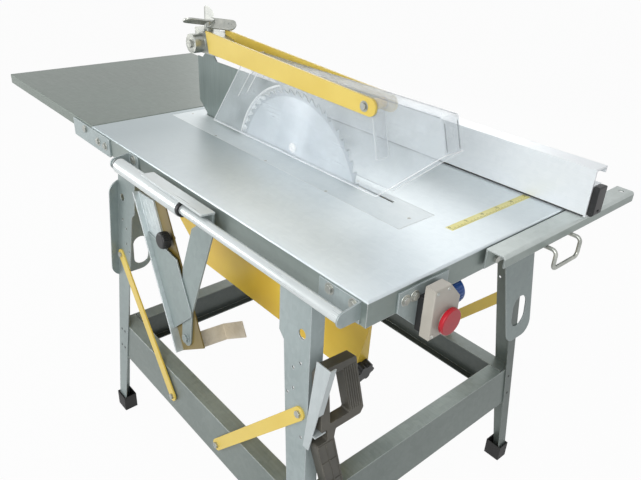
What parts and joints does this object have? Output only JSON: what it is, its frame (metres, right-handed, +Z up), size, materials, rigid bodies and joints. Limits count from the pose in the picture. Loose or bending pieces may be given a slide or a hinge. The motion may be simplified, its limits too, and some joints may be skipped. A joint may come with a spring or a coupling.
{
  "type": "construction table saw",
  "caption": "galvanised construction table saw with splayed legs, yellow guards, rip fence, hanging crosscut carriage and rear extension table",
  "frame": {"origin": "on the floor under the middle of the whole object", "axes": "+X to the operator's right, +Y away from the operator towards the rear extension, +Z up"},
  "size_m": [0.8354, 1.7006, 1.1283],
  "materials": {
    "galvanised_steel": "satin zinc coat",
    "table_steel": "bright satin zinc coat",
    "yellow_paint": "semi-gloss paint",
    "black_plastic": "matt",
    "fence_aluminium": "clear anodised",
    "grey_steel": "plain paint",
    "motor_grey": "plain cast finish",
    "core_iron": "turned",
    "blade_steel": "ground",
    "zinc_bolt": "bright zinc",
    "clear_plastic": "clear and glossy",
    "beige_plastic": "fine texture",
    "red_plastic": "smooth",
    "blue_plastic": "smooth",
    "stick_plastic": "ribbed moulding"
  },
  "bodies": {
    "frame": {"table_top": "table_steel", "table_insert": "table_steel", "leg_front_left": "galvanised_steel", "leg_front_right": "galvanised_steel", "leg_rear_left": "galvanised_steel", "leg_rear_right": "galvanised_steel", "feet": "black_plastic", "rail_left": "galvanised_steel", "rail_right": "galvanised_steel", "rail_front": "galvanised_steel", "rail_rear": "galvanised_steel", "side_braces": "yellow_paint", "carry_plates": "galvanised_steel", "guide_tube": "galvanised_steel", "tube_brackets": "galvanised_steel", "fence_rail": "galvanised_steel", "cable_hook": "zinc_bolt", "extension_brackets": "galvanised_steel", "motor_bearings": "blade_steel", "motor_housing": "motor_grey", "motor_stator": "core_iron", "fan_cowl": "grey_steel", "motor_hangers": "grey_steel", "lower_guard": "yellow_paint", "riving_knife": "blade_steel", "knife_clamp": "grey_steel", "guard_hinge_bolt": "zinc_bolt", "switch_base": "black_plastic", "switch_lid": "beige_plastic", "switch_bracket": "galvanised_steel", "power_inlet": "blue_plastic", "push_stick_holder": "galvanised_steel", "fasteners": "zinc_bolt"},
    "extension": {"extension_table": "table_steel"},
    "fence": {"fence_profile": "fence_aluminium", "fence_shoe": "grey_steel"},
    "fence_lever_body": {"fence_lever": "black_plastic"},
    "slider": {"sleeve_bushes": "black_plastic"},
    "carriage": {"carriage_sleeve": "galvanised_steel", "carriage_arm": "galvanised_steel"},
    "mitre": {"mitre_bar": "yellow_paint", "mitre_fence": "fence_aluminium", "mitre_plate": "fence_aluminium", "push_handle": "galvanised_steel"},
    "mitre_knob_body": {"mitre_knob": "black_plastic"},
    "rotor": {"saw_blade": "blade_steel", "blade_flanges": "blade_steel", "arbor_nut": "zinc_bolt", "arbor_shaft": "core_iron", "motor_fan": "black_plastic"},
    "guard": {"guard_arm_left": "yellow_paint", "guard_arm_right": "yellow_paint", "guard_saddle": "galvanised_steel", "guard_spacer": "zinc_bolt", "guard_front_bolt": "zinc_bolt"},
    "hood_body": {"hood": "clear_plastic"},
    "wing": {"wing_screw": "zinc_bolt"},
    "lock_knob": {"guard_lock_knob": "black_plastic"},
    "stop": {"stop_button": "red_plastic"},
    "stick": {"push_stick": "stick_plastic"}
  },
  "joints": [
    {"name": "extension_fold", "type": "hinge", "parent": "frame", "child": "extension", "pos_m": [-0.02433, 0.25425, 0.834], "axis": [-1, 0, 0], "range_deg": [0, 90]},
    {"name": "fence_slide", "type": "slide", "parent": "frame", "child": "fence", "axis": [1, 0, 0], "range_m": [-0.2, 0.1]},
    {"name": "fence_clamp", "type": "hinge", "parent": "fence", "child": "fence_lever_body", "pos_m": [0.21817, -0.83425, 0.8603], "axis": [1, 0, 0], "range_deg": [0, 70]},
    {"name": "carriage_slide", "type": "slide", "parent": "frame", "child": "slider", "axis": [0, 1, 0], "range_m": [-0.2, 0]},
    {"name": "carriage_swing", "type": "hinge", "parent": "slider", "child": "carriage", "pos_m": [-0.39033, -0.29925, 0.826], "axis": [0, 1, 0], "range_deg": [0, 170]},
    {"name": "mitre_swing", "type": "hinge", "parent": "carriage", "child": "mitre", "pos_m": [-0.39994, -0.29125, 0.50963], "axis": [-0.9962, 0, 0.0872], "range_deg": [0, 25]},
    {"name": "mitre_knob_turn", "type": "hinge", "parent": "mitre", "child": "mitre_knob_body", "pos_m": [-0.38532, -0.21025, 0.71916], "axis": [-0.9962, 0, 0.0872], "continuous": true},
    {"name": "blade_spin", "type": "hinge", "parent": "frame", "child": "rotor", "pos_m": [-0.05733, -0.23925, 0.777], "axis": [1, 0, 0], "continuous": true},
    {"name": "guard_lift", "type": "hinge", "parent": "frame", "child": "guard", "pos_m": [-0.05733, 0.12375, 1.048], "axis": [-1, 0, 0], "range_deg": [0, 60]},
    {"name": "hood_tilt", "type": "hinge", "parent": "guard", "child": "hood_body", "pos_m": [-0.05733, -0.48025, 1.033], "axis": [1, 0, 0], "range_deg": [0, 7]},
    {"name": "wing_screw_turn", "type": "hinge", "parent": "guard", "child": "wing", "pos_m": [-0.05733, 0.12375, 1.078], "axis": [0, -0.2079, 0.9781], "continuous": true},
    {"name": "lock_knob_turn", "type": "hinge", "parent": "frame", "child": "lock_knob", "pos_m": [-0.11833, -0.56026, 0.46], "axis": [0, -0.9751, -0.2219], "continuous": true},
    {"name": "stop_press", "type": "slide", "parent": "frame", "child": "stop", "axis": [0, 1, 0], "range_m": [0, 0.005], "stiffness_N_per_m": 800},
    {"name": "stick_lift", "type": "slide", "parent": "frame", "child": "stick", "axis": [0, 0.0797, 0.9968], "range_m": [0, 0.02]}
  ]
}
